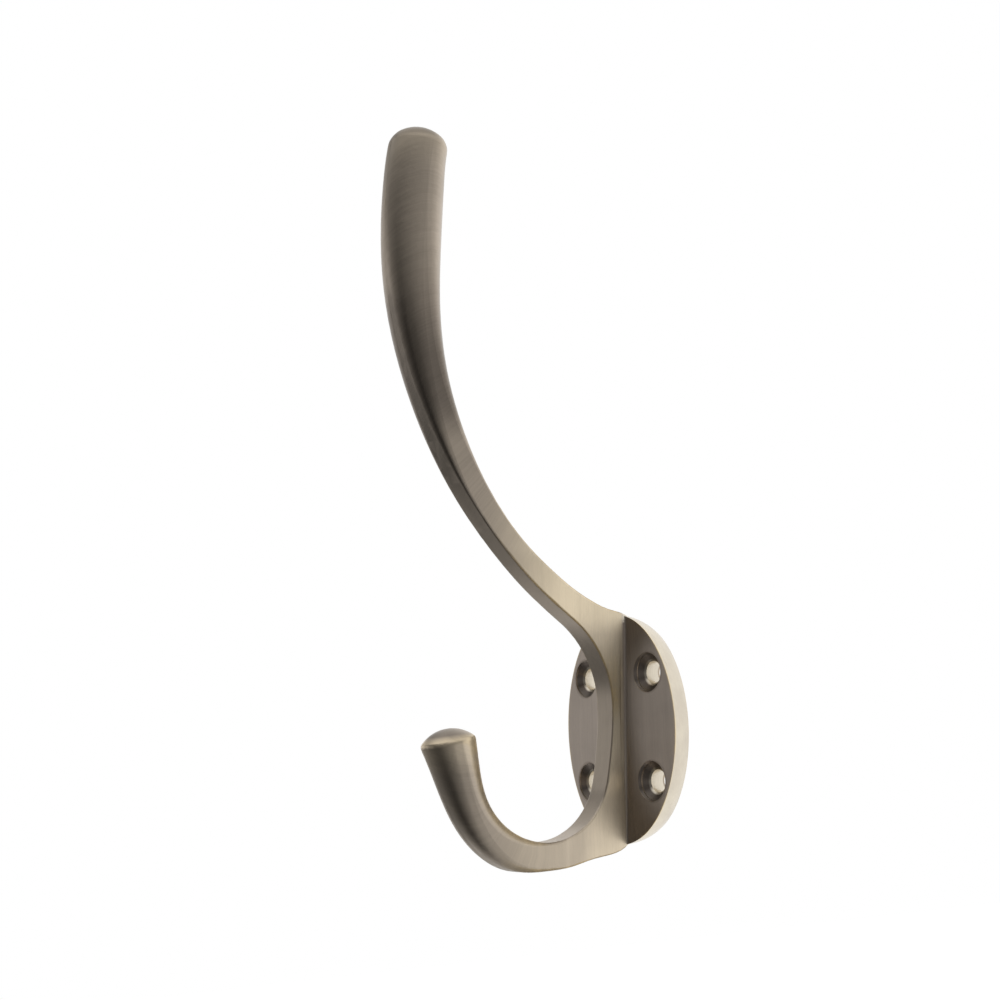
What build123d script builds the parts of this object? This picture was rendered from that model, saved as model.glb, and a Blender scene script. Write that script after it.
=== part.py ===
from build123d import *
import os
from math import acos, asin, atan, atan2, cos, degrees, radians, sin, tan

# A hat and coat hook cast in one piece: an oval wall plate with four screw
# holes, a web standing on its centre line, a long upper arm and a short
# lower hook.
# Frame: the back of the plate lies in the plane Y = 0 against the wall, the
# hook stands out towards -Y, +Z is up, and the origin is the centre of the
# plate's back face. X = 0 is the plane of symmetry. Millimetres.

# Wall plate
PLATE_WIDTH = 38.0          # across X, at the front arris
PLATE_HEIGHT = 50.0         # along Z, at the front arris
PLATE_EDGE = 5.0            # thickness at the left and right ends of the oval
PLATE_RIDGE = 6.0           # thickness on the centre line: the face is gently roofed
RIM_UNDERCUT = 1.6          # how far the back outline lies inside the front arris
APRON_RADIUS = 30.0         # the face sweeps up to the web in this long hollow
APRON_START = 8.0           # distance of the hollow's outer edge from the centre line
RIM_BULGE = 0.4             # how far the rim bows out from a straight taper, half way back

# Screw holes
HOLE_SPACING_X = 22.2
HOLE_SPACING_Z = 23.0
SHANK_HOLE = 4.9            # diameter right through the plate
HEAD_HOLE = 7.9             # diameter of the recess that takes a screw's head
HEAD_LIP = 0.3              # rubbed edge round the recess's mouth
HEAD_WALL = 0.2             # straight wall of the recess
SINK_ANGLE = 100.0          # angle of the countersink below that wall

# Web
WEB_WIDTH = 5.6             # thickness of the web across X
WEB_STAND = 2.7             # height of the web above the ridge beside the shoulder
WEB_FILLET = 0.5            # hollow between the web's sides and the plate
FOOT_HALF = 3.85            # half the web's thickness where it meets the plate, at Z = 0
FOOT_TAPER = 0.04           # growth of that half thickness per millimetre upwards
WEB_CORNER = 0.45           # rounding of the web's long edges
FOOT_LENGTH = 1.2           # the strip that carries the hollow covers this much of the plate
FOOT_LEAN = 0.2             # and leans into the web's side by this slope

# Inner outline of the hook in the plane X = 0: tangent circles and lines
THROAT_RADIUS = 16.1        # round bottom of the lower hook
THROAT_CENTRE_Z = -7.3
THROAT_STAND = 4.3          # height of the web above the ridge beside the throat
LOWER_TIP_LEAN = 8.0        # the lower tip leans outward by this angle
SHOULDER_RADIUS = 22.0      # hollow between the web and the upper arm
SHOULDER_CENTRE_Z = 4.8
ARM_REACH = 62.7            # from the wall to the foremost point of the upper arm
ARM_CREST_Z = 105.0         # height of that foremost point

# Tips
UPPER_TIP_Z = 129.0         # height of the top of the upper tip, on the arm's axis
UPPER_TIP_SIZE = 12.8       # depth and width of the arm there
UPPER_DOME = 8.0            # radius of the upper tip's domed end
UPPER_TURN = 4.0            # the dome leans outward from the arm's axis by this angle
UPPER_BLEND = 3.4           # rounding between that dome and the arm
LOWER_TIP_Z = 0.1           # height of the top of the lower tip, on its axis
LOWER_TIP_SIZE = 10.8       # depth and width of the lower tip
LOWER_TIP_RUN = 5.0         # straight length of the lower tip
LOWER_DOME = 7.6            # radius of the lower tip's domed end
LOWER_BLEND = 1.0           # rounding of the arris between that dome and the tip
TIP_SPARE = 1.5             # length beyond each tip that the dome takes away
ROUND_SHARE = 0.485         # corner radius of a nearly round section, as a share of its width

# Sections of the upper arm, from the shoulder to the tip: place along the
# arm's sweep (0 to 1), depth in the plane X = 0, width across X, corner radius,
# widening of each side towards the back
ARM_SECTIONS = [
    (0.00, 6.0, 5.6, 0.45, 0.7),
    (0.07, 5.5, 5.5, 0.45, 0.35),
    (0.15, 5.1, 5.4, 0.45, 0.15),
    (0.29, 5.5, 5.8, 0.6, 0.0),
    (0.41, 6.8, 7.4, 1.8, 0.0),
    (0.52, 8.4, 9.2, 3.2, 0.0),
    (0.64, 10.6, 11.2, 4.6, 0.0),
    (0.76, 12.7, 12.6, 6.0, 0.0),
    (0.89, 13.1, 13.0, 6.4, 0.0),
]

# Sections of the lower hook: angle round the throat, measured from the side
# of the web, then depth, width and corner radius
HOOK_SECTIONS = [
    (60.0, 7.0, 5.6, 0.45),
    (75.0, 5.95, 5.7, 0.5),
    (92.0, 5.8, 6.0, 0.8),
    (110.0, 6.85, 6.6, 1.5),
    (130.0, 7.5, 7.4, 2.6),
    (150.0, 7.9, 8.4, 3.5),
    (172.0, 9.2, 9.6, 4.4),
]

# Sections of the web, by the heading at which they leave the shoulder's centre
# and then the throat's centre
SWEEP_ANGLE = 50.0          # over the top of the plate
TOP_ROOT_ANGLE = 42.0       # at the plate's top
TOP_WEB_ANGLE = 24.0        # below the plate's top
SLANT_STEP = 4.0            # from the shoulder's end to the straight run
LOW_WEB_ANGLE = -22.0       # above the plate's bottom
LOW_ROOT_ANGLE = -40.0      # at the plate's bottom
WEB_BACK_Y = -3.0           # the web's hidden back runs here, inside the plate
ROOT_INSET = 0.5            # the upper arm's root starts this far inside the plate's arris
LOW_ROOT_INSET = 0.15       # and the lower hook's root this far
ROOT_SWEEP_OUT = 3.6        # the upper arm's back passes this far in front of the face
ROOT_SWEEP_UP = 0.7         # and this far above the top of the plate

# Shapes that are cut away run past the metal
DOME_REACH = 4.0            # size of the block beyond a dome, in radii of the dome
HOLE_SPARE = 1.0            # length of a screw hole's cutter in front of and behind the plate


def at(y, z):
    """A point of the plane X = 0."""
    return Vector(0, y, z)


def heading(angle):
    """A direction in the plane X = 0; 0 degrees is +Y and 90 degrees is +Z."""
    return at(cos(radians(angle)), sin(radians(angle)))


THROAT_CENTRE = at(-(PLATE_RIDGE + THROAT_STAND + THROAT_RADIUS), THROAT_CENTRE_Z)
SHOULDER_CENTRE = at(-(PLATE_RIDGE + WEB_STAND + SHOULDER_RADIUS), SHOULDER_CENTRE_Z)


def arm_circle():
    """Centre and radius of the circle that touches the shoulder and crests at the reach."""
    inward = ARM_REACH + SHOULDER_CENTRE.Y
    rise = ARM_CREST_Z - SHOULDER_CENTRE.Z
    radius = (inward**2 + rise**2 - SHOULDER_RADIUS**2) / (2 * (inward + SHOULDER_RADIUS))
    return at(radius - ARM_REACH, ARM_CREST_Z), radius


def web_slant():
    """Heading of the normal of the straight run between the throat and the shoulder."""
    step = SHOULDER_CENTRE - THROAT_CENTRE
    along = degrees(atan2(step.Z, step.Y))
    return along - degrees(acos((THROAT_RADIUS - SHOULDER_RADIUS) / step.length))


def section(front, back, width, corner, flare=0.0):
    """A section from the inner to the outer outline; flare widens its back on each side."""
    across = front - back
    plane = Plane(origin=back, x_dir=(1, 0, 0), z_dir=Vector(1, 0, 0).cross(across))
    left, right, height = -width / 2, width / 2, across.length
    face = make_face(
        Polyline((left, height), (right, height), (right + flare, 0), (left - flare, 0), close=True)
    )
    return plane * fillet(face.vertices(), corner)


def upper_tip():
    """The top of the upper tip on the arm's axis, and the heading of that axis."""
    centre, radius = arm_circle()
    axis_radius = radius - UPPER_TIP_SIZE / 2
    angle = 180 - degrees(asin((UPPER_TIP_Z - ARM_CREST_Z) / axis_radius))
    return centre + heading(angle) * axis_radius, heading(angle - 90 + UPPER_TURN)


def lower_tip():
    """The top of the lower tip on its axis, and the heading of that axis."""
    out = heading(180 + LOWER_TIP_LEAN)
    up = heading(90 + LOWER_TIP_LEAN)
    start = THROAT_CENTRE + out * (THROAT_RADIUS + LOWER_TIP_SIZE / 2)
    return start + up * ((LOWER_TIP_Z - start.Z) / up.Z), up


def arm_sections():
    """The sections of the upper arm, from the tip down to the shoulder."""
    centre, radius = arm_circle()
    step = centre - SHOULDER_CENTRE
    start = 180 + degrees(atan2(step.Z, step.Y))
    end = 180 - degrees(asin((UPPER_TIP_Z - ARM_CREST_Z) / (radius - UPPER_TIP_SIZE / 2)))
    past = 1 + degrees(TIP_SPARE / radius) / (start - end)
    tip = (past, UPPER_TIP_SIZE, UPPER_TIP_SIZE, ROUND_SHARE * UPPER_TIP_SIZE, 0.0)
    faces = []
    for place, depth, width, corner, flare in [tip] + ARM_SECTIONS[::-1]:
        out = heading(start + place * (end - start))
        front = centre + out * radius
        faces.append(section(front, front - out * depth, width, corner, flare))
    return faces


def foot_half(z):
    """Half the web's thickness where it meets the plate, at a height z."""
    return FOOT_HALF + FOOT_TAPER * z


def web_flare(front, back):
    """The widening at a section's back that brings its side to the web's foot."""
    share = (front.Y + PLATE_RIDGE) / (front.Y - back.Y)
    foot_z = front.Z + share * (back.Z - front.Z)
    return (foot_half(foot_z) - WEB_WIDTH / 2) / share


def web_sections():
    """The sections of the web, from the upper root down to the lower root."""
    slant = web_slant()
    top = at(-PLATE_RIDGE + ROOT_INSET, PLATE_HEIGHT / 2 - ROOT_INSET)
    bottom = at(-PLATE_RIDGE + LOW_ROOT_INSET, -PLATE_HEIGHT / 2 + LOW_ROOT_INSET)
    sweep = at(-PLATE_RIDGE - ROOT_SWEEP_OUT, PLATE_HEIGHT / 2 + ROOT_SWEEP_UP)
    runs = [
        (SHOULDER_CENTRE, SHOULDER_RADIUS, SWEEP_ANGLE, sweep),
        (SHOULDER_CENTRE, SHOULDER_RADIUS, TOP_ROOT_ANGLE, top),
        (SHOULDER_CENTRE, SHOULDER_RADIUS, TOP_WEB_ANGLE, None),
        (SHOULDER_CENTRE, SHOULDER_RADIUS, slant + SLANT_STEP, None),
        (THROAT_CENTRE, THROAT_RADIUS, slant, None),
        (THROAT_CENTRE, THROAT_RADIUS, LOW_WEB_ANGLE, None),
        (THROAT_CENTRE, THROAT_RADIUS, LOW_ROOT_ANGLE, bottom),
    ]
    faces = []
    for centre, radius, angle, back in runs:
        out = heading(angle)
        front = centre + out * radius
        if back is None:
            back = front + out * ((WEB_BACK_Y - front.Y) / out.Y)
        faces.append(section(front, back, WEB_WIDTH, WEB_CORNER, web_flare(front, back)))
    return faces


def hook_sections():
    """The sections of the lower hook, from its root to its tip."""
    faces = []
    for angle, depth, width, corner in HOOK_SECTIONS:
        out = heading(-angle)
        front = THROAT_CENTRE + out * THROAT_RADIUS
        faces.append(section(front, front + out * depth, width, corner))
    end, up = lower_tip()
    out = heading(180 + LOWER_TIP_LEAN)
    for rise in (-LOWER_TIP_RUN, TIP_SPARE):
        front = end + up * rise - out * (LOWER_TIP_SIZE / 2)
        back = front + out * LOWER_TIP_SIZE
        faces.append(section(front, back, LOWER_TIP_SIZE, ROUND_SHARE * LOWER_TIP_SIZE))
    return faces


def blade():
    """The web and both arms: one bar of changing section."""
    return loft(arm_sections() + web_sections() + hook_sections())


def domed(bar, end, along, dome, blend):
    """The bar with its end turned to a dome whose top is the given end point."""
    centre = end - along * dome
    reach = DOME_REACH * dome
    beyond = Plane(origin=centre, z_dir=along) * Box(
        reach, reach, reach, align=(Align.CENTER, Align.CENTER, Align.MIN)
    )
    ball = Plane(origin=centre, x_dir=-along, z_dir=(1, 0, 0)) * Sphere(dome)
    cut = bar - (beyond - ball)
    cap = cut.faces().filter_by(GeomType.SPHERE).sort_by_distance(end)[0]
    return cut.fillet(blend, cap.edges())


def face_fall():
    """Fall of the plate's roofed face, per millimetre away from the centre line."""
    return (PLATE_RIDGE - PLATE_EDGE) / (PLATE_WIDTH / 2)


def face_y(x):
    """The plate's face at a distance x from the centre line, with the long hollow."""
    fall = face_fall()
    slope = atan(fall)
    centre_x = APRON_START + APRON_RADIUS * sin(slope)
    centre_y = -PLATE_RIDGE + fall * APRON_START - APRON_RADIUS * cos(slope)
    if x >= APRON_START:
        return -PLATE_RIDGE + fall * x
    return centre_y + (APRON_RADIUS**2 - (x - centre_x) ** 2) ** 0.5


def face_profile():
    """A bar along Z with the plate's section: flat back and a roofed, hollowed face."""
    edge = PLATE_WIDTH / 2 + RIM_UNDERCUT
    start, middle, end = [(x, face_y(x)) for x in (APRON_START, APRON_START / 2, 0)]
    hollow = ThreePointArc(start, middle, end)
    rest = Polyline(end, (0, 0), (edge, 0), (edge, face_y(edge)), start)
    side = make_face([hollow, rest])
    return extrude(side + mirror(side, about=Plane.YZ), PLATE_HEIGHT, dir=(0, 0, 1), both=True)


def root_hollow():
    """A strip of metal along the foot of the web's right side, with a hollow face."""
    strips = []
    for z in (-PLATE_HEIGHT / 2, PLATE_HEIGHT / 2):
        foot_x = foot_half(z)
        outer_x = foot_x + FOOT_LENGTH
        foot = Vector(foot_x, face_y(foot_x))
        crest = foot - Vector(FOOT_LEAN, 1) * FOOT_LENGTH
        corners = (outer_x, face_y(outer_x)), foot, crest, (foot_x - FOOT_LENGTH, WEB_BACK_Y)
        face = make_face(Polyline(*corners, close=True))
        corner = face.vertices().sort_by_distance(foot)[0]
        strips.append(Pos(0, 0, z) * fillet(corner, WEB_FILLET))
    return loft(strips)


def plate():
    """The oval plate with its bowed rim, its roofed face and the hollows beside the web."""
    waist = RIM_UNDERCUT / 2 - RIM_BULGE
    outlines = []
    for depth, inset in (
        (0, RIM_UNDERCUT),
        (PLATE_RIDGE / 2, waist),
        (PLATE_RIDGE, 0),
        (PLATE_RIDGE + WEB_STAND, 0),
    ):
        outline = Ellipse(PLATE_WIDTH / 2 - inset, PLATE_HEIGHT / 2 - inset)
        outlines.append(Plane.XZ.offset(depth) * outline)
    hollow = root_hollow()
    bar = face_profile() + hollow + mirror(hollow, about=Plane.YZ)
    return loft(outlines) & bar


def screw_hole():
    """The shape that one screw hole takes away, with its axis along Y."""
    sink = (HEAD_HOLE - SHANK_HOLE) / 2 / tan(radians(SINK_ANGLE / 2))
    mouth = face_y(HOLE_SPACING_X / 2)
    wall_start = mouth + HEAD_LIP
    wall_end = wall_start + HEAD_WALL
    outline = Polyline(
        (0, mouth - HOLE_SPARE),
        (HEAD_HOLE / 2 + HEAD_LIP + HOLE_SPARE, mouth - HOLE_SPARE),
        (HEAD_HOLE / 2, wall_start),
        (HEAD_HOLE / 2, wall_end),
        (SHANK_HOLE / 2, wall_end + sink),
        (SHANK_HOLE / 2, HOLE_SPARE),
        (0, HOLE_SPARE),
        close=True,
    )
    return revolve(make_face(outline), Axis.Y)


def hook_casting():
    """The whole casting: plate, web and both arms, with the four holes cut."""
    bar = domed(blade(), *upper_tip(), UPPER_DOME, UPPER_BLEND)
    bar = domed(bar, *lower_tip(), LOWER_DOME, LOWER_BLEND)
    casting = plate() + bar
    for x in (-HOLE_SPACING_X / 2, HOLE_SPACING_X / 2):
        for z in (-HOLE_SPACING_Z / 2, HOLE_SPACING_Z / 2):
            casting -= Pos(x, 0, z) * screw_hole()
    return casting


os.makedirs("parts", exist_ok=True)
export_step(hook_casting(), "parts/hook_casting.step")
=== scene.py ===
import math

import bpy
from mathutils import Matrix, Vector

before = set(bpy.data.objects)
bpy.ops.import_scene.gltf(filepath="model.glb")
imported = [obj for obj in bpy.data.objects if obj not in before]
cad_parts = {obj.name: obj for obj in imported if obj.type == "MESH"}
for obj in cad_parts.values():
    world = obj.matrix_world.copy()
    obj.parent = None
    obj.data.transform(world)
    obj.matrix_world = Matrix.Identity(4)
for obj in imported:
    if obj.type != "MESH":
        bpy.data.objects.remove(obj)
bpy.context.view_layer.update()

# Looks of a cast hat and coat hook: satin, brown-grey antique brass, brushed by
# hand, with paler rubbed edges, and with light and shade painted into its colour
# in places. Metres; the wall side is +Y, +Z is up.
WHITE = (1, 1, 1, 1)

# Camera, at the photograph's viewing angle: seen from the front right and
# from slightly below
CAMERA_PLACE = (0.2449, -0.1974, -0.0086)
CAMERA_AZIMUTH = 56.45
CAMERA_ELEVATION = -11.01
CAMERA_ROLL = 1.39
CAMERA_LENS = 50.1
CAMERA_SENSOR = 36.0
CAMERA_NEAREST = 0.01

# Studio: a pale floor that starts below the hook, and a white card at the wall
FLOOR_Z = -0.16
FLOOR_BOX = (-0.75, 0.75, -0.06, 1.5)
FLOOR_COLOUR = (0.8, 0.8, 0.8, 1)
FLOOR_GLOW = 0.45
CARD_Y = 0.0015
CARD_HALF = 0.11
CARD_CENTRE_Z = 0.004
CARD_BRIGHT = 1.1
# the card fades away between these distances from its centre
CARD_INNER = 0.038
CARD_OUTER = 0.092

# Light level round the room, by azimuth from the front in degrees, positive to
# the right
ROOM_LEVELS = [
    (-180, 1.15), (-120, 1.15), (-84, 0.9), (-56, 0.72), (-34, 0.32), (4, 0.13),
    (52, 0.2), (83, 0.3), (115, 0.42), (150, 0.75), (180, 1.15),
]
LEVEL_TOP = 1.3
# at the front left, between these azimuths, only a band of elevations keeps its
# full level; the band and the white sky above are given as sines of elevation
BAND_FROM = (-112, -96)
BAND_TO = (20, 60)
BAND_LOW = (-0.24, -0.02)
BAND_HIGH = (0.32, 0.50)
BAND_REST = 0.34
SKY = (0.50, 0.85)

# Curves of the casting, as the CAD has them
THROAT_Y, THROAT_Z, THROAT_RADIUS = -0.0264, -0.0073, 0.0161
ARM_REACH = 0.0627
ARM_CREST_Z = 0.105
SHOULDER_Y, SHOULDER_Z, SHOULDER_RADIUS = -0.0307, 0.0048, 0.022
PLATE_HALF_X, PLATE_HALF_Z = 0.019, 0.025
LOWER_LEAN = math.radians(8.0)
LOWER_END_Y, LOWER_END_Z = -0.0492, 0.0001
HOLE_X, HOLE_Z = 0.0111, 0.0115

# The rim starts at this share of the plate's oval: the first value towards the
# front, the second towards the back, with the change between two depths
RIM_SHARES = (0.945, 0.885)
RIM_DEPTHS = (-0.0036, -0.0030)

# The lower tip's worn ring: its lower edge by the height from the tip's end, and
# how much lower and stronger it gets where the surface faces the wall
RING_EDGE = -0.0028
RING_DROP = -0.0022
RING_WEAR = (0.3, 1.0)
WALLWARD = (-0.1, 0.7)

# Masks of the metal, each the product of its terms. A term is a value from
# measure() with the level where its smooth step is 0 and the level where it is
# 1, or the name of a value or of an earlier mask, with a minus for one less it.
MASKS = {
    # parts of the casting
    "on_plate": [("y", -0.0070, -0.0062)],
    "rim": ["on_plate", ("facing", 0.8, 0.5), "past_rim_line"],
    "back": [("y", -0.0006, -0.0002)],
    "in_hole": [("hole", 0.0047, 0.0043), "-rim", "-back"],
    "sunk": [("hole", 0.0026, 0.0030)],
    "recess": ["in_hole", "sunk"],
    "shank": ["in_hole", "-sunk"],
    "upper": [("z", 0.028, 0.042)],
    "lower": [("y", -0.016, -0.028), "-upper"],
    # the hollows beside the web, which nothing rubs
    "crease": [("side", 0.0030, 0.0036), ("side", 0.0075, 0.0050), ("y", -0.0085, -0.0068)],
    # edges: sharp ones, the rounded long ones of the web and of the arms' flat
    # parts and the lower tip's shoulder; and the inner corners of the lower hook,
    # which get a painted highlight
    "sharp": [("edge", 0.012, 0.14)],
    "flat_part": [("z", 0.078, 0.058), ("y", -0.040, -0.031), "-on_plate"],
    "throat": [("inward", 0.1, 0.4), ("z", 0.006, 0.0)],
    "arris": [("bend", 0.20, 0.44), "flat_part", "-throat"],
    "ring": [
        ("ring_rise", -0.0007, 0.0003), ("tip_rise", -0.0012, -0.0020),
        ("y", -0.032, -0.034), ("z", 0.006, 0.004), "ring_wear",
    ],
    "inner": [
        ("inward", 0.1, 0.6), ("turned", 0.1, 0.4), ("z", 0.004, 0.0), ("y", -0.025, -0.031),
    ],
    # flanks and roots with a painted highlight, as they face the side light, and
    # tips that are paler where rubbed
    "flank": [("turned", 0.6, 0.9), "-on_plate"],
    "web_flank": ["flank", ("y", -0.024, -0.012)],
    "low_root": ["web_flank", ("z", -0.014, -0.029)],
    "top_root": ["flank", ("z", 0.012, 0.027), ("z", 0.074, 0.046), ("y", -0.044, -0.018)],
    "hook_flank": ["flank", ("y", -0.044, -0.030), ("z", -0.004, -0.012)],
    "upper_tip": [("z", 0.116, 0.127)],
    "lower_tip": [
        ("tip_rise", -0.011, -0.003), ("tip_rise", -0.0016, -0.0024), ("y", -0.034, -0.036),
    ],
    # painted shade, darker where shade and dark reflections fall: the upper arm's
    # middle, the tops of both tips, the lower halves of the recesses, and the flank
    # and the front of the upper arm
    "waist": [("z", 0.058, 0.072), ("z", 0.103, 0.086)],
    "cap": [("skyward", 0.1, 0.45), ("z", 0.118, 0.121), ("y", -0.050, -0.055)],
    "dome": [("tip_rise", -0.0018, -0.0012), ("z", 0.006, 0.004), ("y", -0.046, -0.051)],
    "socket": ["recess", ("skyward", 0.0, 0.5)],
    "nook": [("turned", 0.45, 0.85), ("z", 0.058, 0.068), ("z", 0.094, 0.076)],
    "shin": [
        ("skyward", -0.1, -0.2), ("turned", 0.8, 0.5), ("z", 0.042, 0.060), ("z", 0.100, 0.086),
    ],
}

# Metal: its colours, and how far each mask goes towards one of them
BODY = (0.43, 0.368, 0.300, 1)
DARK = (0.30, 0.252, 0.208, 1)
PALE = (0.72, 0.655, 0.54, 1)
WARM = (0.86, 0.735, 0.54, 1)
NIGHT = (0.11, 0.094, 0.08, 1)
GOLD = (0.78, 0.62, 0.36, 1)
# painted shade: the upper arm's middle and the recesses made darker
TO_DARK_SHADE = {"waist": 0.6, "recess": 0.8}
# painted highlights on the flanks and roots; the tips paler where rubbed
TO_WARM_LIT_AND_RUBBED = {
    "web_flank": 0.55, "low_root": 0.7, "top_root": 1.0, "hook_flank": 0.25,
    "upper_tip": 0.22, "lower_tip": 0.4,
}
# painted shade, near black: the tops of both tips, the recesses' lower halves, and the upper
# arm's flank and front
TO_NIGHT_SHADE = {"cap": 0.6, "dome": 0.5, "socket": 0.9, "nook": 0.6, "shin": 0.5}
ARRIS_WEAR = 0.85
# painted highlight on the lower hook's inner corners
INNER_HIGHLIGHT = 0.8
HOLE_WEAR = 0.25
PLATE_TINT = (1.0, 1.0, 1.14)
PLATE_TINTED = 0.35

# Noises: scale, detail and roughness
WAVER_NOISE = (260.0, 2.0, 0.5)
FINE_NOISE = (2400.0, 4.0, 0.62)
BROAD_NOISE = (520.0, 4.0, 0.62)
CLOUD_NOISE = (95.0, 4.0, 0.55)
PATCH_NOISE = (320.0, 3.0, 0.6)
RUB_NOISE = (210.0, 4.0, 0.65)

# Brushing: slopes of the strokes on the arms, how far they waver, how much slower
# they change along their length, and a shift that sets the rim's strokes apart
ARM_LEAN = 0.45
HOOK_LEAN = -0.2
CROSSING_LEAN = 0.6
WAVER = 0.0012
STRETCH = 0.045
RIM_SHIFT = 1.0
FINE_STREAK = 0.34
BROAD_STREAK = 0.22
# share of the streaks that is left on the rim and on the back
STREAK_REST = 0.5

# Patina's cloudiness, and how far the wear and the painted highlights keep to
# rubbed patches
CLOUD_SHARE = 0.9
PATCH_SHARE = 0.4
MOTTLE_SHADE = 0.6
RUBBED = (0.32, 0.66)
WORN_AND_LIT_LEVELS = (0.4, 0.95)
RIM_LEVELS = (0.8, 1.0)
EDGE_RADIUS = 0.0007
EDGE_SAMPLES = 6

# Surface
ANISOTROPY = 0.6
ROUGH = 0.36
ROUGH_FINE = 0.16
ROUGH_MOTTLE = 0.10
ROUGH_WORN_AND_LIT = -0.06
ROUGH_BACK = 0.12
ROUGH_EDGE = 0.4
BUMP_FINE = 0.6
BUMP_BROAD = 0.4
BUMP_STRENGTH = 0.35
BUMP_DISTANCE = 0.00006


def make_camera():
    """The camera that took the photograph."""
    azimuth, elevation, roll = (
        math.radians(a) for a in (CAMERA_AZIMUTH, CAMERA_ELEVATION, CAMERA_ROLL)
    )
    back = Vector((
        math.sin(azimuth) * math.cos(elevation),
        -math.cos(azimuth) * math.cos(elevation),
        math.sin(elevation),
    ))
    level = Vector((math.cos(azimuth), math.sin(azimuth), 0))
    upright = back.cross(level)
    right = level * math.cos(roll) - upright * math.sin(roll)
    up = level * math.sin(roll) + upright * math.cos(roll)
    data = bpy.data.cameras.new("camera")
    data.sensor_width = CAMERA_SENSOR
    data.lens = CAMERA_LENS
    data.clip_start = CAMERA_NEAREST
    camera = bpy.data.objects.new("camera", data)
    turn = Matrix((right, up, back)).transposed().to_4x4()
    camera.matrix_world = Matrix.Translation(CAMERA_PLACE) @ turn
    bpy.context.scene.collection.objects.link(camera)
    bpy.context.scene.camera = camera


class Nodes:
    """Builds a node tree: each call adds a node, and sockets or values go into its inputs."""

    def __init__(self, tree):
        self.tree = tree
        tree.nodes.clear()

    def add(self, kind, inputs=None, **settings):
        node = self.tree.nodes.new(kind)
        for name, value in settings.items():
            setattr(node, name, value)
        for key, value in (inputs or {}).items():
            socket = node.inputs[key]
            if isinstance(value, bpy.types.NodeSocket):
                self.tree.links.new(value, socket)
            else:
                socket.default_value = value
        return node

    def math(self, operation, *values):
        node = self.add("ShaderNodeMath", dict(enumerate(values)), operation=operation)
        return node.outputs[0]

    def chain(self, operation, values):
        """One operation over several numbers, from left to right."""
        total = values[0]
        for value in values[1:]:
            total = self.math(operation, total, value)
        return total

    def times(self, *values):
        return self.chain("MULTIPLY", values)

    def plus(self, *values):
        return self.chain("ADD", values)

    def most(self, *values):
        """The greatest of several numbers."""
        return self.chain("MAXIMUM", values)

    def less(self, a, b):
        return self.math("SUBTRACT", a, b)

    def without(self, mask):
        """One less a mask."""
        return self.less(1.0, mask)

    def centred(self, noise):
        """A noise from 0 to 1, moved to lie about 0."""
        return self.less(noise, 0.5)

    def length(self, a, b):
        return self.math("SQRT", self.plus(self.times(a, a), self.times(b, b)))

    def vector(self, operation, *values):
        node = self.add("ShaderNodeVectorMath", dict(enumerate(values)), operation=operation)
        return node.outputs["Value" if operation == "DOT_PRODUCT" else "Vector"]

    def combine(self, x, y, z):
        return self.add("ShaderNodeCombineXYZ", {0: x, 1: y, 2: z}).outputs[0]

    def split(self, vector):
        return self.add("ShaderNodeSeparateXYZ", {0: vector}).outputs

    def step(self, value, low, high, to_low=0.0, to_high=1.0):
        """A smooth step of a value from one level to another."""
        return self.add(
            "ShaderNodeMapRange",
            {0: value, 1: low, 2: high, 3: to_low, 4: to_high},
            interpolation_type="SMOOTHSTEP",
        ).outputs[0]

    def fall(self, value, low, high):
        """A smooth step from one down to zero."""
        return self.step(value, low, high, 1.0, 0.0)

    def noise(self, vector, scale, detail, rough):
        return self.add(
            "ShaderNodeTexNoise",
            {"Vector": vector, "Scale": scale, "Detail": detail, "Roughness": rough},
        ).outputs[0]

    def mix(self, factor, a, b):
        """A mix of two numbers."""
        node = self.add("ShaderNodeMix", {0: factor, 2: a, 3: b}, data_type="FLOAT")
        return node.outputs[0]

    def lean(self, factor, a, b):
        """A mix of two vectors."""
        node = self.add("ShaderNodeMix", {0: factor, 4: a, 5: b}, data_type="VECTOR")
        return node.outputs[1]

    def blend(self, factor, a, b):
        """A mix of two colours."""
        node = self.add("ShaderNodeMix", {0: factor, 6: a, 7: b}, data_type="RGBA")
        return node.outputs[2]

    def around(self, y, z, centre_y, centre_z):
        """Angle of a point about a centre in the plane X = 0, and the way out from there."""
        out_y = self.less(y, centre_y)
        out_z = self.less(z, centre_z)
        out = self.vector("NORMALIZE", self.combine(0.0, out_y, out_z))
        return self.math("ARCTAN2", out_z, out_y), out


def camera_sees(n):
    """One for rays that come straight from the camera or through glass."""
    path = n.add("ShaderNodeLightPath").outputs
    return n.most(path["Is Camera Ray"], path["Is Transmission Ray"])


def round_share(azimuth):
    """An azimuth as a share of the turn from the back, over the left, to the back."""
    return azimuth / 360 + 0.5


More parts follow.
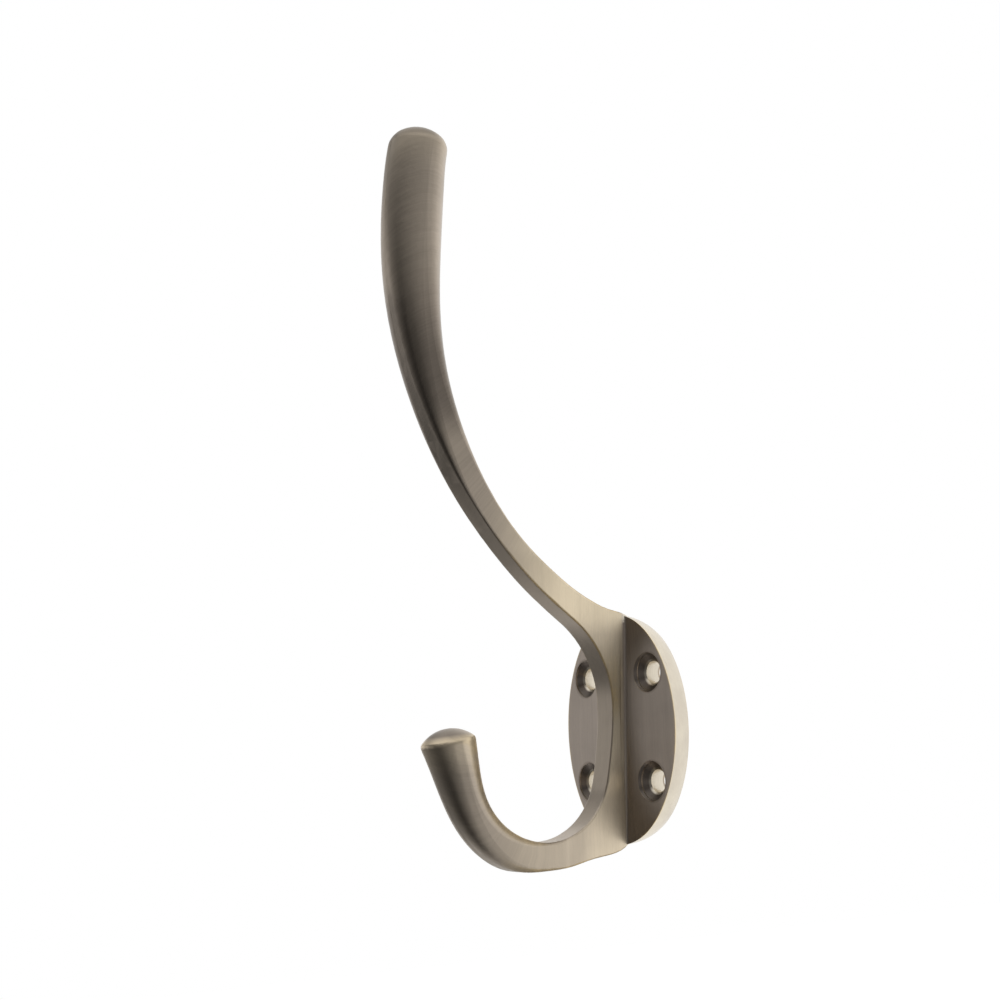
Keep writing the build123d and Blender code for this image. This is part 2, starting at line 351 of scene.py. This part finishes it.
def make_world():
    """White where the camera looks. The metal sees a white backdrop behind the
    hook, a darker room in front of it with a bright band at the left, and a white sky."""
    world = bpy.data.worlds.new("studio")
    bpy.context.scene.world = world
    world.use_nodes = True
    n = Nodes(world.node_tree)
    x, y, z = n.split(n.add("ShaderNodeTexCoord").outputs["Generated"])
    turn = n.math("ARCTAN2", x, n.times(y, -1.0))
    share = n.plus(n.math("DIVIDE", turn, 2 * math.pi), 0.5)
    ramp = n.add("ShaderNodeValToRGB", {0: share})
    ramp.color_ramp.interpolation = "EASE"
    stops = ramp.color_ramp.elements
    while len(stops) < len(ROOM_LEVELS):
        stops.new(0.5)
    for stop, (azimuth, level) in zip(stops, ROOM_LEVELS):
        value = level / LEVEL_TOP
        stop.position = round_share(azimuth)
        stop.color = (value, value, value, 1)
    around = n.times(ramp.outputs[0], LEVEL_TOP)
    front = n.times(
        n.step(share, *map(round_share, BAND_FROM)),
        n.fall(share, *map(round_share, BAND_TO)),
    )
    band = n.times(n.step(z, *BAND_LOW), n.fall(z, *BAND_HIGH))
    banded = n.times(around, n.mix(front, 1.0, n.mix(band, BAND_REST, 1.0)))
    room = n.mix(n.step(z, *SKY), banded, 1.0)
    level = n.mix(camera_sees(n), room, 1.0)
    light = n.add("ShaderNodeBackground", {"Color": WHITE, "Strength": level})
    n.add("ShaderNodeOutputWorld", {0: light.outputs[0]})


def blank(name):
    """A material, and its node tree to be filled."""
    paint = bpy.data.materials.new(name)
    paint.use_nodes = True
    return paint, Nodes(paint.node_tree)


def sheet(name, corners, paint):
    """A flat stage piece with one material."""
    mesh = bpy.data.meshes.new(name)
    mesh.from_pydata(corners, [], [(0, 1, 2, 3)])
    piece = bpy.data.objects.new(name, mesh)
    bpy.context.scene.collection.objects.link(piece)
    mesh.materials.append(paint)


def make_floor():
    """A plain pale floor below the hook, brighter to the camera than to the metal."""
    paint, n = blank("floor")
    matt = n.add("ShaderNodeBsdfDiffuse", {"Color": FLOOR_COLOUR})
    glow = n.add("ShaderNodeEmission", {"Color": WHITE, "Strength": FLOOR_GLOW})
    both = n.add("ShaderNodeAddShader", {0: matt.outputs[0], 1: glow.outputs[0]})
    shown = n.add(
        "ShaderNodeMixShader", {0: camera_sees(n), 1: matt.outputs[0], 2: both.outputs[0]}
    )
    n.add("ShaderNodeOutputMaterial", {0: shown.outputs[0]})
    left, right, front, back = FLOOR_BOX
    corners = [(left, front), (right, front), (right, back), (left, back)]
    sheet("floor", [(x, y, FLOOR_Z) for x, y in corners], paint)


def make_card():
    """A white card at the wall that only the metal's reflections see."""
    paint, n = blank("card")
    x, y, z = n.split(n.add("ShaderNodeTexCoord").outputs["Object"])
    out = n.length(x, n.less(z, CARD_CENTRE_Z))
    seen = n.times(
        n.add("ShaderNodeLightPath").outputs["Is Glossy Ray"],
        n.fall(out, CARD_INNER, CARD_OUTER),
    )
    clear = n.add("ShaderNodeBsdfTransparent")
    glow = n.add("ShaderNodeEmission", {"Color": WHITE, "Strength": CARD_BRIGHT})
    shown = n.add("ShaderNodeMixShader", {0: seen, 1: clear.outputs[0], 2: glow.outputs[0]})
    n.add("ShaderNodeOutputMaterial", {0: shown.outputs[0]})
    low, high = CARD_CENTRE_Z - CARD_HALF, CARD_CENTRE_Z + CARD_HALF
    sides = [(-CARD_HALF, low), (CARD_HALF, low), (CARD_HALF, high), (-CARD_HALF, high)]
    sheet("card", [(x, CARD_Y, z) for x, z in sides], paint)


def arm_circle():
    """Centre's Y and radius of the upper arm's front outline, as the CAD builds it."""
    inward = ARM_REACH + SHOULDER_Y
    rise = ARM_CREST_Z - SHOULDER_Z
    radius = (inward**2 + rise**2 - SHOULDER_RADIUS**2) / (2 * (inward + SHOULDER_RADIUS))
    return radius - ARM_REACH, radius


def measure(n):
    """Where a point lies on the casting and how its surface is turned, by name."""
    place = n.add("ShaderNodeTexCoord").outputs["Object"]
    normal = n.add("ShaderNodeNewGeometry").outputs["Normal"]
    x, y, z = n.split(place)
    normal_x, normal_y, normal_z = n.split(normal)
    side = n.math("ABSOLUTE", x)
    turned = n.math("ABSOLUTE", normal_x)
    # the curves that both arms follow
    arm_y, arm_radius = arm_circle()
    arm_angle, arm_out = n.around(y, z, arm_y, ARM_CREST_Z)
    hook_angle, hook_out = n.around(y, z, THROAT_Y, THROAT_Z)
    # the plate's oval, in shares of its size
    oval = n.length(n.math("DIVIDE", x, PLATE_HALF_X), n.math("DIVIDE", z, PLATE_HALF_Z))
    rim_line = n.step(y, *RIM_DEPTHS, *RIM_SHARES)
    # the height along the lower tip's axis, from the tip's end
    tip_rise = n.plus(
        n.times(n.less(y, LOWER_END_Y), -math.sin(LOWER_LEAN)),
        n.times(n.less(z, LOWER_END_Z), math.cos(LOWER_LEAN)),
    )
    wallward = n.step(normal_y, *WALLWARD)
    ring_edge = n.plus(RING_EDGE, n.times(wallward, RING_DROP))
    rounded = n.add("ShaderNodeBevel", {"Radius": EDGE_RADIUS}, samples=EDGE_SAMPLES)
    return {
        "place": place,
        "normal": normal,
        "x": x,
        "y": y,
        "z": z,
        "along_arm": n.times(arm_angle, arm_radius),
        "along_hook": n.times(hook_angle, THROAT_RADIUS),
        "arm_out": arm_out,
        "hook_out": hook_out,
        "past_rim_line": n.math("GREATER_THAN", oval, rim_line),
        "hole": n.length(n.less(side, HOLE_X), n.less(n.math("ABSOLUTE", z), HOLE_Z)),
        "side": side,
        "tip_rise": tip_rise,
        "ring_rise": n.less(tip_rise, ring_edge),
        "ring_wear": n.mix(wallward, *RING_WEAR),
        "turned": turned,
        "facing": n.math("ABSOLUTE", normal_y),
        "skyward": normal_z,
        "inward": n.times(n.vector("DOT_PRODUCT", normal, hook_out), -1.0),
        # how sharply the surface bends nearby
        "edge": n.without(n.vector("DOT_PRODUCT", normal, rounded.outputs[0])),
        # highest where the surface faces halfway to the side; the root stays real
        "bend": n.times(turned, n.math("SQRT", n.less(1.0001, n.times(turned, turned)))),
    }


def add_masks(n, at):
    """Adds the masks to the values that they start from."""
    for name, terms in MASKS.items():
        parts = []
        for term in terms:
            if isinstance(term, tuple):
                value, zero, one = term
                make = n.step if zero < one else n.fall
                parts.append(make(at[value], min(zero, one), max(zero, one)))
            elif term.startswith("-"):
                parts.append(n.without(at[term[1:]]))
            else:
                parts.append(at[term])
        at[name] = n.times(*parts)


def strongest(n, at, strengths):
    """The strongest of several masks, each at its own strength."""
    return n.most(*(n.times(at[name], strength) for name, strength in strengths.items()))


def brush(n, at):
    """Fine and broad strokes, and their direction: across both arms, up and down
    the web and round the rim."""
    x, y, z = at["x"], at["y"], at["z"]
    waver = n.times(n.centred(n.noise(at["place"], *WAVER_NOISE)), WAVER)
    crossing = n.plus(x, n.times(y, CROSSING_LEAN))

    def strokes(quick, slow, noise, lean=0.0):
        """Streaks: noise that changes fast along one length and slowly along the other."""
        bent = n.plus(quick, waver, n.times(slow, lean))
        return n.noise(n.combine(bent, n.times(slow, STRETCH), 0.0), *noise)

    def brushing(noise):
        web = n.noise(n.combine(n.plus(x, waver), y, n.times(z, STRETCH)), *noise)
        total = n.mix(at["upper"], web, strokes(at["along_arm"], crossing, noise, ARM_LEAN))
        total = n.mix(at["lower"], total, strokes(at["along_hook"], crossing, noise, HOOK_LEAN))
        return n.mix(at["rim"], total, strokes(n.plus(y, RIM_SHIFT), n.plus(x, z), noise))

    round_rim = n.combine(n.times(z, -1.0), 0.0, x)
    grain = n.lean(at["upper"], (0.0, 0.0, 1.0), at["arm_out"])
    grain = n.lean(at["lower"], grain, at["hook_out"])
    grain = n.lean(at["rim"], grain, n.vector("NORMALIZE", round_rim))
    return brushing(FINE_NOISE), brushing(BROAD_NOISE), grain


def antique_brass():
    """Satin antique brass: brushed strokes, uneven brown patina and rubbed edges, with painted
    light and shade in places.
    """
    metal, n = blank("antique_brass")
    at = measure(n)
    add_masks(n, at)
    fine, broad, grain = brush(n, at)

    # patina, uneven in the open; painted shade, darker in the recesses and on the arm's middle
    cloud = n.centred(n.noise(at["place"], *CLOUD_NOISE))
    patch = n.centred(n.noise(at["place"], *PATCH_NOISE))
    mottle = n.plus(n.times(cloud, CLOUD_SHARE), n.times(patch, PATCH_SHARE))
    shade = n.plus(strongest(n, at, TO_DARK_SHADE), n.times(mottle, MOTTLE_SHADE))
    colour = n.blend(n.most(n.math("MINIMUM", shade, 1.0), 0.0), BODY, DARK)
    # painted highlights on the flanks and roots, and paler rubbed tips
    colour = n.blend(strongest(n, at, TO_WARM_LIT_AND_RUBBED), colour, WARM)
    tinted = n.vector("MULTIPLY", colour, PLATE_TINT)
    colour = n.blend(n.times(at["on_plate"], PLATE_TINTED), colour, tinted)
    # painted shade in the darkest places
    colour = n.blend(strongest(n, at, TO_NIGHT_SHADE), colour, NIGHT)

    # wear and painted highlights: pale on the rim, partly rubbed and partly a painted
    # highlight; pale in the shank holes, a painted highlight of the light behind them;
    # golden on the rubbed edges, and a painted highlight on the lower hook's inner corners
    rub = n.step(n.noise(at["place"], *RUB_NOISE), *RUBBED)
    sharp = n.times(at["sharp"], n.mix(at["in_hole"], 1.0, HOLE_WEAR))
    inner = n.times(at["inner"], INNER_HIGHLIGHT)
    worn_and_lit = n.times(
        n.most(sharp, n.times(at["arris"], ARRIS_WEAR), at["ring"], inner),
        n.without(at["crease"]),
        n.mix(rub, *WORN_AND_LIT_LEVELS),
    )
    pale = n.most(n.times(at["rim"], n.mix(rub, *RIM_LEVELS)), at["shank"])
    colour = n.blend(worn_and_lit, n.blend(pale, colour, PALE), GOLD)

    # streaks of the brushing, fainter on the rim and on the back
    streak = n.plus(
        n.times(n.centred(fine), FINE_STREAK), n.times(n.centred(broad), BROAD_STREAK)
    )
    streak = n.times(streak, n.mix(n.most(at["rim"], at["back"]), 1.0, STREAK_REST))
    level = n.plus(streak, 1.0)
    colour = n.vector("MULTIPLY", colour, n.combine(level, level, level))

    rough = n.plus(
        ROUGH,
        n.times(n.centred(fine), ROUGH_FINE),
        n.times(mottle, ROUGH_MOTTLE),
        n.times(n.most(worn_and_lit, pale), ROUGH_WORN_AND_LIT),
        n.times(at["back"], ROUGH_BACK),
        n.times(n.most(inner, at["arris"]), ROUGH_EDGE),
    )
    height = n.plus(n.times(fine, BUMP_FINE), n.times(broad, BUMP_BROAD))
    bump = n.add(
        "ShaderNodeBump",
        {"Height": height, "Strength": BUMP_STRENGTH, "Distance": BUMP_DISTANCE},
    )
    shader = n.add(
        "ShaderNodeBsdfPrincipled",
        {
            "Base Color": colour,
            "Metallic": 1.0,
            "Roughness": rough,
            "Anisotropic": ANISOTROPY,
            "Normal": bump.outputs[0],
            "Tangent": n.vector("CROSS_PRODUCT", at["normal"], grain),
        },
    )
    n.add("ShaderNodeOutputMaterial", {0: shader.outputs[0]})
    return metal


make_camera()
make_world()
make_floor()
make_card()
bpy.context.scene.view_settings.view_transform = "Standard"

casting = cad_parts["hook_casting"]
casting.data.materials.clear()
casting.data.materials.append(antique_brass())
